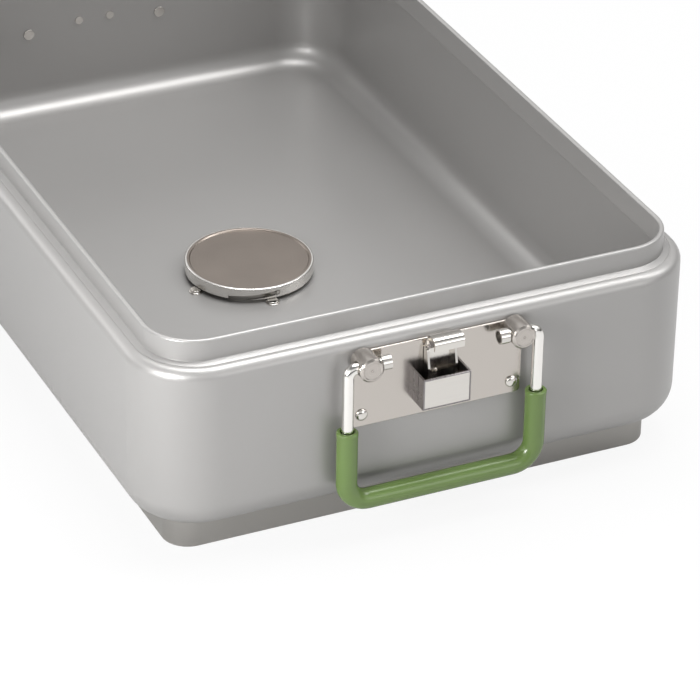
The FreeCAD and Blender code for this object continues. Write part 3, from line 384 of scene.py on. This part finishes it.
def bright_wire(look):
    """Drawn and polished wire with faint rub marks."""
    shader = Shader("handle wire steel")
    rubs = shader.noise(shader.place(), 260.0, 4.0)
    return shader.surface(
        Base_Color=shader.shaded(rubs, look.wire, 0.92), Metallic=1.0, Roughness=0.13 + 0.08 * rubs,
        Normal=shader.bump(rubs, 0.03, 0.02 * MM))


def turned_posts(look, size):
    """Turned posts: fine rings on the faces, drawn about each post's own axis."""
    shader = Shader("post steel")
    place = shader.place()
    sideways = shader.node("ShaderNodeSeparateXYZ", Vector=place)
    height = shader.node("ShaderNodeSeparateXYZ", output=2, Vector=place)
    across = shader.math("ABSOLUTE", sideways, 0.0) - size.post_place
    rise = height - size.pivot_level
    rings = shader.rings(shader.math("SQRT", across * across + rise * rise, 0.0), 3200.0)
    return shader.surface(
        Base_Color=shader.shaded(rings, look.plate, 0.86), Metallic=1.0, Roughness=0.18 + 0.14 * rings,
        Normal=shader.bump(rings, 0.12, 0.01 * MM))


def pale_floor(look):
    """A floor that glows for the camera, less so in reflections, and keeps the shadow."""
    shader = Shader("floor")
    camera, glossy, through = (shader.node("ShaderNodeLightPath", output=ray) for ray in (0, 3, 6))
    seen = (camera + 0.3 * (glossy + through)).clamp()
    lit = shader.node("ShaderNodeBsdfDiffuse", Color=tone(*look.backdrop))
    glow = shader.node("ShaderNodeEmission", Color=tone(1.0, 1.0, 1.0), Strength=1.0)
    mixed = shader.node("ShaderNodeMixShader", s0=seen * 0.90, s1=lit, s2=glow)
    shader.node("ShaderNodeOutputMaterial", Surface=mixed)
    return shader.material


def softbox(name, place, width, height, power):
    """A soft rectangular lamp that faces the container."""
    lamp = bpy.data.lights.new(name, "AREA")
    lamp.shape = "RECTANGLE"
    lamp.size = width
    lamp.size_y = height
    lamp.energy = power
    made = bpy.data.objects.new(name, lamp)
    made.location = place
    made.visible_camera = False
    middle = Vector((0, 0, 60 * MM))
    made.rotation_euler = (middle - Vector(place)).to_track_quat("-Z", "Y").to_euler()
    bpy.context.scene.collection.objects.link(made)


def white_surroundings():
    """A bright band all round between a dark horizon and a dim top, for contrast in the steel, and
    white where the camera sees it."""
    world = bpy.data.worlds.new("surroundings")
    world.use_nodes = True
    tree = world.node_tree
    tree.nodes.clear()
    path = tree.nodes.new("ShaderNodeLightPath")
    place = tree.nodes.new("ShaderNodeTexCoord")
    split = tree.nodes.new("ShaderNodeSeparateXYZ")
    ramp = tree.nodes.new("ShaderNodeValToRGB")
    stops = ramp.color_ramp.elements
    stops[0].position, stops[0].color = 0.05, tone(0.10, 0.10, 0.10)
    stops[1].position, stops[1].color = 0.80, tone(0.22, 0.22, 0.22)
    for position, level in ((0.22, 0.18), (0.38, 0.90), (0.60, 0.90)):
        stops.new(position).color = tone(level, level, level)
    lit = tree.nodes.new("ShaderNodeBackground")
    white = tree.nodes.new("ShaderNodeBackground")
    white.inputs["Color"].default_value = tone(1.0, 1.0, 1.0)
    mixed = tree.nodes.new("ShaderNodeMixShader")
    out = tree.nodes.new("ShaderNodeOutputWorld")
    for start, end in ((place.outputs["Generated"], split.inputs[0]), (split.outputs["Z"], ramp.inputs[0]),
                       (ramp.outputs["Color"], lit.inputs["Color"]),
                       (path.outputs["Is Camera Ray"], mixed.inputs[0]), (lit.outputs[0], mixed.inputs[1]),
                       (white.outputs[0], mixed.inputs[2]), (mixed.outputs[0], out.inputs["Surface"])):
        tree.links.new(start, end)
    bpy.context.scene.world = world


def camera_at_photo():
    """The photograph's camera, from a fit of the pan's edges."""
    azimuth, elevation, roll = math.radians(25.23), math.radians(30.45), math.radians(1.09)
    ahead = Vector((math.sin(azimuth) * math.cos(elevation), math.cos(azimuth) * math.cos(elevation),
                    -math.sin(elevation)))
    level = Vector((math.cos(azimuth), -math.sin(azimuth), 0.0))
    right = level * math.cos(roll) + level.cross(ahead) * math.sin(roll)
    turn = Matrix((right, right.cross(ahead), -ahead)).transposed()
    place = Vector((-684.2, -1574.3, 980.7)) * MM
    data = bpy.data.cameras.new("photo camera")
    data.lens = 198.8
    data.sensor_width = 36.0
    data.clip_end = 50.0
    camera = bpy.data.objects.new("photo camera", data)
    camera.matrix_world = Matrix.Translation(place) @ turn.to_4x4()
    bpy.context.scene.collection.objects.link(camera)
    scene = bpy.context.scene
    scene.camera = camera
    scene.view_settings.view_transform = "Standard"


# Shapes

def pan_section(size):
    """The pan's closed wall section as (distance inside the outer wall, level) in millimetres."""
    height, foot, base, shoulder = (value / MM for value in (size.height, size.foot_height,
                                                             size.base_radius, size.shoulder))
    neck_height, neck_sheet, rim, bend = 10.5, 2.5, 1.1, 1.2
    ledge_width, ledge_rise, ledge_fillet, ledge_fall = 3.4, 1.0, 0.25, 0.09
    groove = ((0.1, -0.25), (0.45, -0.3), (0.7, 0.0))
    ledge = height - neck_height
    step = ledge - ledge_rise
    neck = shoulder + ledge_width
    inside = neck + neck_sheet
    section = [(base, foot)]
    section += arc((base, foot + base), base, 270, 180, 10)[1:]
    section += arc((shoulder, step - shoulder), shoulder, 180, 90, 8)
    section += [(shoulder + across, step + rise) for across, rise in groove]
    section += [(neck - ledge_fillet, ledge - ledge_fall), (neck, ledge + ledge_fillet)]
    section += arc((neck + rim, height - rim), rim, 180, 90, 5)
    section += arc((inside - rim, height - rim), rim, 90, 0, 5)
    section += arc((inside - bend, step - PAN_SHEET + bend), bend, 0, -90, 5)
    section += arc((shoulder, step - shoulder), shoulder - PAN_SHEET, 90, 180, 6)
    section += arc((base, foot + base), base - PAN_SHEET, 180, 270, 10)
    return section


def pan_skin(size):
    """Walls, ledge, neck and floor of the pan, with the round drain opening, as one closed skin."""
    width, length, corner, bore, foot = (value / MM for value in (size.width, size.length, size.corner,
                                                                  size.bore, size.foot_height))
    rings = [rounded_ring(width - 2 * inset, length - 2 * inset, corner - inset, level)
             for inset, level in pan_section(size)]
    count = len(rings[0])
    angles = [math.radians(360 * (index + 0.5) / count - 90) for index in range(count)]
    for level in (foot + PAN_SHEET, foot):
        rings.append([(bore * math.cos(angle), bore * math.sin(angle), level) for angle in angles])
    return lofted("pan", rings)


def handle_route(size, side, drop):
    """The points of the handle wire's line from one end to the other, in metres.
    A drop of zero starts at the inner ends beside the posts, a larger one on the legs."""
    half, off = size.handle_span / 2, size.length / 2 + size.wire_off
    low = size.pivot_level - size.handle_drop
    corners = [Vector((-half, 0, size.pivot_level - drop)), Vector((-half, 0, low)), Vector((half, 0, low)),
               Vector((half, 0, size.pivot_level - drop))]
    bends = [0, size.low_bend, size.low_bend, 0]
    if not drop:
        inner = size.wire_end
        corners = [Vector((-inner, 0, size.pivot_level))] + corners + [Vector((inner, 0, size.pivot_level))]
        bends = [0, size.top_bend, size.low_bend, size.low_bend, size.top_bend, 0]
    route = []
    for index, (corner, bend) in enumerate(zip(corners, bends)):
        if not bend:
            route.append(corner)
            continue
        arriving = (corners[index - 1] - corner).normalized()
        leaving = (corners[index + 1] - corner).normalized()
        centre = corner + (arriving + leaving) * bend
        for step in range(BEND_STEPS + 1):
            angle = math.radians(90 * step / BEND_STEPS)
            route.append(centre - leaving * (bend * math.cos(angle)) - arriving * (bend * math.sin(angle)))
    return [Vector((point.x, side * off, point.z)) for point in route]


def path_object(name, points, widths):
    """A curve with straight runs between points, each with a share of the section's size."""
    data = bpy.data.curves.new(name, "CURVE")
    data.dimensions = "3D"
    spline = data.splines.new("POLY")
    spline.points.add(len(points) - 1)
    for held, point, width in zip(spline.points, points, widths):
        held.co = (*point, 1.0)
        held.radius = width
    made = bpy.data.objects.new(name, data)
    bpy.context.scene.collection.objects.link(made)
    return made


# Geometry Nodes

class Tree:
    """A Geometry Nodes tree with named inputs."""

    def __init__(self, name, inputs):
        self.group = bpy.data.node_groups.new(name, "GeometryNodeTree")
        interface = self.group.interface
        interface.new_socket("Geometry", in_out="OUTPUT", socket_type="NodeSocketGeometry")
        interface.new_socket("Geometry", in_out="INPUT", socket_type="NodeSocketGeometry")
        for label, (kind, default) in inputs.items():
            socket = interface.new_socket(label, in_out="INPUT", socket_type=kind)
            if default is not None:
                socket.default_value = default
        self.input = self.group.nodes.new("NodeGroupInput")
        self.output = self.group.nodes.new("NodeGroupOutput")

    def given(self, label):
        return self.input.outputs[label]

    def node(self, kind, settings=None, output=0, **sockets):
        """Adds a node: first its settings, then the values or links of its sockets."""
        made = self.group.nodes.new(kind)
        for name, setting in (settings or {}).items():
            setattr(made, name, setting)
        for name, given in sockets.items():
            socket = made.inputs[name.replace("_", " ")]
            if isinstance(given, bpy.types.NodeSocket):
                self.group.links.new(given, socket)
            else:
                socket.default_value = given
        return made.outputs[output]

    def end(self, geometry):
        """Realize Instances, Set Material and the output."""
        plain = self.node("GeometryNodeRealizeInstances", Geometry=geometry)
        finish = self.node("GeometryNodeSetMaterial", Geometry=plain, Material=self.given("Material"))
        self.group.links.new(finish, self.output.inputs["Geometry"])
        return self.group


def tube_tree():
    """A round bar, or a hollow sleeve, along the curve that it is put on."""
    tree = Tree("tube along a path", {
        "Radius": ("NodeSocketFloat", 3 * MM), "Bore": ("NodeSocketFloat", 0.0),
        "Hollow": ("NodeSocketBool", False), "Sides": ("NodeSocketInt", 32),
        "Material": ("NodeSocketMaterial", None)})
    path = tree.given("Geometry")
    width = tree.node("GeometryNodeInputRadius")
    solid = tree.node("FunctionNodeBooleanMath", {"operation": "NOT"}, Boolean=tree.given("Hollow"))
    outline, bore = (
        tree.node("GeometryNodeCurvePrimitiveCircle", Resolution=tree.given("Sides"), Radius=tree.given(label))
        for label in ("Radius", "Bore"))
    outside = tree.node("GeometryNodeCurveToMesh", Curve=path, Profile_Curve=outline, Scale=width,
                        Fill_Caps=solid)
    inside = tree.node("GeometryNodeFlipFaces", Mesh=tree.node(
        "GeometryNodeCurveToMesh", Curve=path, Profile_Curve=bore))
    both = tree.group.nodes.new("GeometryNodeJoinGeometry")
    tree.group.links.new(inside, both.inputs[0])
    tree.group.links.new(outside, both.inputs[0])
    sleeve = tree.node("GeometryNodeMergeByDistance", Geometry=both.outputs[0], Distance=10 * WELD)
    chosen = tree.node("GeometryNodeSwitch", {"input_type": "GEOMETRY"}, Switch=tree.given("Hollow"),
                       **{"False": outside, "True": sleeve})
    return tree.end(chosen)


def repeated_tree():
    """Copies of a part on the points of a mesh, each turned along its point's outward attribute."""
    tree = Tree("part on points", {
        "Part": ("NodeSocketObject", None), "Material": ("NodeSocketMaterial", None)})
    part = tree.node("GeometryNodeObjectInfo", output=4, Object=tree.given("Part"))
    outward = tree.node("GeometryNodeInputNamedAttribute", {"data_type": "FLOAT_VECTOR"}, Name="outward")
    turn = tree.node("FunctionNodeAlignRotationToVector", {"axis": "Z"}, Vector=outward)
    copies = tree.node("GeometryNodeInstanceOnPoints", Points=tree.given("Geometry"), Instance=part,
                       Rotation=turn)
    return tree.end(copies)


def grown(carrier, group, inputs):
    """Puts a tree on an object, evaluates it and returns the result as a plain mesh object."""
    modifier = carrier.modifiers.new(group.name, "NODES")
    modifier.node_group = group
    for item in group.interface.items_tree:
        if item.in_out == "INPUT" and item.name in inputs:
            modifier[item.identifier] = inputs[item.name]
    bpy.context.view_layer.update()
    depsgraph = bpy.context.evaluated_depsgraph_get()
    mesh = bpy.data.meshes.new_from_object(carrier.evaluated_get(depsgraph), depsgraph=depsgraph)
    name = carrier.name
    bpy.data.objects.remove(carrier)
    if not mesh.polygons:
        raise RuntimeError(f"{name} came out empty")
    mesh.name = name
    made = bpy.data.objects.new(name, mesh)
    bpy.context.scene.collection.objects.link(made)
    return made


def turned(name, profile, sides):
    """A closed turned piece about Z from (radius, level) points that start and end on the axis."""
    vertices, faces, rings = [], [], []
    for radius, level in profile:
        start = len(vertices)
        around = sides if radius > 0 else 1
        for side in range(around):
            angle = 2 * math.pi * side / sides
            vertices.append((radius * math.cos(angle), radius * math.sin(angle), level))
        rings.append((start, around))
    for (low, low_count), (high, high_count) in zip(rings, rings[1:]):
        for side in range(sides):
            after = (side + 1) % sides
            lower = [low + side, low + after] if low_count > 1 else [low]
            upper = [high + after, high + side] if high_count > 1 else [high]
            faces.append(lower + upper)
    return mesh_object(name, vertices, faces)


def placed(obj, material_slot, body, *nodes):
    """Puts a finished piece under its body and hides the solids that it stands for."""
    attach(obj, body)
    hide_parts(*nodes)


def dressed(material, *names):
    """Gives a finish to solids that stay as they are."""
    for name in names:
        node = NODES[name]
        for slot in node.material_slots:
            slot.material = material


def eased(material, material_slot, body, name, edge, sharp_angle=SHARP_ANGLE):
    """A copy of a solid with whole faces, smooth rounds and fine rounded edges, which stands for it."""
    work = bmesh.new()
    work.from_mesh(NODES[name].data)
    bmesh.ops.remove_doubles(work, verts=work.verts, dist=WELD)
    bmesh.ops.dissolve_limit(work, angle_limit=math.radians(FLAT_ANGLE), verts=work.verts, edges=work.edges)
    mesh = bpy.data.meshes.new(f"{name}_eased")
    work.to_mesh(mesh)
    work.free()
    copy = bpy.data.objects.new(f"{name}_eased", mesh)
    bpy.context.scene.collection.objects.link(copy)
    placed(finished(copy, material, sharp_angle, edge), material_slot, body, name)


def at_both_ends(*names):
    return [f"{end}_{name}" for end in ENDS for name in names]


# Operators

class CONTAINER_OT_pan(bpy.types.Operator):
    """Makes the skin of the pan: walls, lid ledge, neck and floor"""

    bl_idname = "container.pan"
    bl_label = "Pan"

    def execute(self, context):
        skin = finished(pan_skin(sizes()), anodised_aluminium(colours()), sharp_angle=40.0)
        skin.name = "pan_skin"
        placed(skin, "anodised", "container", "tub_shell")
        return {"FINISHED"}


class CONTAINER_OT_foot(bpy.types.Operator):
    """Finishes the foot frame"""

    bl_idname = "container.foot"
    bl_label = "Foot frame"

    def execute(self, context):
        dressed(foot_sheet(colours()), "foot_frame")
        return {"FINISHED"}


class CONTAINER_OT_handles(bpy.types.Operator):
    """Bends the handle wires and pulls the sleeves over them"""

    bl_idname = "container.handles"
    bl_label = "Handles"

    def execute(self, context):
        size = sizes()
        bright = bright_wire(colours())
        silicone = sleeve_silicone(colours())
        tube = tube_tree()
        collar = turned_steel("collar steel", colours().steel, 0.2, ALONG_X)
        sleeve_slack = 0.6 * MM
        bore = size.wire + sleeve_slack
        # the sleeve's rolled mouth: shares of its radius at depths below its end
        shares = [bore / size.sleeve, 0.93, 1.02, 1.03, 1.0]
        depths = [0.0, 0.05 * MM, 0.45 * MM, 1.6 * MM, 3.2 * MM]
        for end, side in ENDS.items():
            route = handle_route(size, side, 0.0)
            wire = grown(path_object(f"{end}_wire", route, [1.0] * len(route)), tube,
                         {"Radius": size.wire, "Sides": 40, "Material": bright})
            placed(finished(wire, bright, 40.0), "polished", f"{end}_handle", f"{end}_handle_wire")
            route = handle_route(size, side, size.sleeve_drop)
            down = (route[1] - route[0]).normalized()
            first = [route[0] + down * depth for depth in depths]
            last = [route[-1] + down * depth for depth in reversed(depths)]
            sleeve = grown(path_object(f"{end}_sleeve", first + route[1:-1] + last,
                                       shares + [1.0] * (len(route) - 2) + shares[::-1]), tube,
                           {"Radius": size.sleeve, "Bore": bore, "Hollow": True, "Sides": 48,
                            "Material": silicone})
            placed(finished(sleeve, silicone, 50.0), "green_sleeve", f"{end}_handle", f"{end}_handle_grip")
            dressed(collar, f"{end}_handle_collars")
        return {"FINISHED"}


class CONTAINER_OT_plates(bpy.types.Operator):
    """Finishes the plates behind the handles and sets their domed rivets"""

    bl_idname = "container.plates"
    bl_label = "Plates and rivets"

    def execute(self, context):
        size = sizes()
        plate = brushed_steel("plate steel", colours().plate, roughness=0.2, grain=(60.0, 60.0, 2200.0),
                              depth=0.06, contrast=0.05)
        for name in at_both_ends("handle_plate"):
            eased(plate, "plate_steel", "container", name, 0.12 * MM)
        bright = brushed_steel("rivet steel", colours().steel, roughness=0.16, grain=(500.0, 500.0, 500.0),
                               depth=0.03, contrast=0.04)
        head, shank, chamfer = size.rivet_head, 1.6 * MM, 0.2 * MM
        tail = -size.plate - PAN_SHEET * MM
        tail_end = tail - size.rivet_tail
        upright = 0.12
        profile = [(0.0, tail_end), (head - chamfer, tail_end), (head, tail_end + chamfer), (head, tail),
                   (shank, tail), (shank, 0.0), (head, 0.0)]
        profile += [(head * x, size.rivet_dome * (upright + (1 - upright) * z))
                    for x, z in arc((0, 0), 1.0, 0, 90, 8)[:-1]]
        profile.append((0.0, size.rivet_dome))
        rivet = finished(turned("rivet", profile, 36), bright, 40.0)
        places, outward = [], []
        for side in ENDS.values():
            for across in (-1, 1):
                places.append((across * size.rivet_spacing / 2, side * (size.length / 2 + size.plate),
                               size.rivet_level))
                outward.append((0.0, side, 0.0))
        points = mesh_object("plate_rivet_heads", places, [])
        directions = points.data.attributes.new("outward", "FLOAT_VECTOR", "POINT")
        for held, direction in zip(directions.data, outward):
            held.vector = direction
        rivets = grown(points, repeated_tree(), {"Part": rivet, "Material": bright})
        bpy.data.objects.remove(rivet)
        placed(finished(rivets, bright, 40.0), "polished", "container", *at_both_ends("plate_rivets"))
        post = turned_posts(colours(), size)
        for name in at_both_ends("left_handle_post", "right_handle_post"):
            eased(post, "post_steel", "container", name, 0.15 * MM)
        dressed(bright, *at_both_ends("post_washers", "lock_rivets"))
        return {"FINISHED"}


class CONTAINER_OT_locks(bpy.types.Operator):
    """Finishes the lid locks: housing, blank face, hook, pin, plunger and thermal strip"""

    bl_idname = "container.locks"
    bl_label = "Lid locks"

    def execute(self, context):
        look = colours()
        housing = brushed_steel("lock housing steel", look.lock, roughness=0.28, grain=(1500.0, 60.0, 60.0),
                                depth=0.1, contrast=0.12)
        face = brushed_steel("lock face steel", look.steel, roughness=0.34, grain=(50.0, 50.0, 1800.0),
                             depth=0.08, contrast=0.08)
        hook = brushed_steel("hook steel", look.steel, roughness=0.14, grain=(60.0, 700.0, 700.0),
                             depth=0.04, contrast=0.05)
        pin = brushed_steel("pin steel", look.steel, roughness=0.12, grain=(300.0, 300.0, 300.0),
                            depth=0.03, contrast=0.05)
        wire = brushed_steel("spring steel", look.lock, roughness=0.3, grain=(400.0, 400.0, 400.0),
                             depth=0.05, contrast=0.1)
        for end in ENDS:
            eased(housing, "lock_steel", "container", f"{end}_lock_housing", 0.1 * MM)
            eased(face, "face_steel", "container", f"{end}_lock_face_plate", 0.08 * MM)
            eased(hook, "hook_steel", f"{end}_hook", f"{end}_lock_hook", 0.06 * MM)
        dressed(pin, *at_both_ends("lock_pivot_pin", "lock_plunger"))
        dressed(wire, *at_both_ends("lock_hook_spring", "plunger_spring"), "valve_spring")
        dressed(bimetal_strip(), *at_both_ends("thermal_strip"), "bimetal_disc")
        return {"FINISHED"}


class CONTAINER_OT_drain(bpy.types.Operator):
    """Finishes the bayonet drain in the middle of the floor"""

    bl_idname = "container.drain"
    bl_label = "Drain"

    def execute(self, context):
        look = colours()
        ring = turned_steel("drain ring steel", look.steel, 0.26, ALONG_Z)
        eased(drain_cap_steel(look, sizes()), "drain_steel", "cap", "drain_cap", 0.08 * MM)
        dressed(ring, "gasket_carrier", "valve_disc")
        eased(ring, "stainless", "container", "drain_base_ring", 0.08 * MM)
        stud = brushed_steel("stud steel", look.steel, roughness=0.16, grain=(400.0, 400.0, 400.0),
                             depth=0.03, contrast=0.05)
        dressed(stud, "drain_bayonet_pins", "drain_ring_rivets")
        eased(stud, "polished", "container", "drain_support_studs", 0.2 * MM, 40.0)
        dressed(seal_rubber(look), "drain_gasket", "valve_seal")
        return {"FINISHED"}


class CONTAINER_OT_studio(bpy.types.Operator):
    """Sets the floor, the lights, the background and the camera"""

    bl_idname = "container.studio"
    bl_label = "Studio"

    def execute(self, context):
        floor = mesh_object("floor", [(-6, -6, 0), (6, -6, 0), (6, 6, 0), (-6, 6, 0)], [(0, 1, 2, 3)])
        floor.data.materials.append(pale_floor(colours()))
        for lamp in LAMPS:
            softbox(*lamp)
        white_surroundings()
        camera_at_photo()
        return {"FINISHED"}


OPERATORS = (
    CONTAINER_OT_pan, CONTAINER_OT_foot, CONTAINER_OT_handles, CONTAINER_OT_plates, CONTAINER_OT_locks,
    CONTAINER_OT_drain, CONTAINER_OT_studio,
)


class CONTAINER_PT_panel(bpy.types.Panel):
    """Lists the container's pieces and its sizes and colours"""

    bl_idname = "CONTAINER_PT_panel"
    bl_label = "Container"
    bl_space_type = "VIEW_3D"
    bl_region_type = "UI"
    bl_category = "Container"

    def draw(self, context):
        column = self.layout.column()
        for group in (context.scene.container_sizes, context.scene.container_colours):
            for name in group.bl_rna.properties.keys():
                if name not in ("rna_type", "name"):
                    column.prop(group, name)
        for operator in OPERATORS:
            column.operator(operator.bl_idname)


CLASSES = (ContainerColours, ContainerSizes, *OPERATORS, CONTAINER_PT_panel)


def register():
    for each in CLASSES:
        bpy.utils.register_class(each)
    bpy.types.Scene.container_colours = bpy.props.PointerProperty(type=ContainerColours)
    bpy.types.Scene.container_sizes = bpy.props.PointerProperty(type=ContainerSizes)


def unregister():
    del bpy.types.Scene.container_sizes
    del bpy.types.Scene.container_colours
    for each in reversed(CLASSES):
        bpy.utils.unregister_class(each)


def main():
    register()
    for operator in OPERATORS:
        space, name = operator.bl_idname.split(".")
        getattr(getattr(bpy.ops, space), name)()


if __name__ == "__main__":
    main()
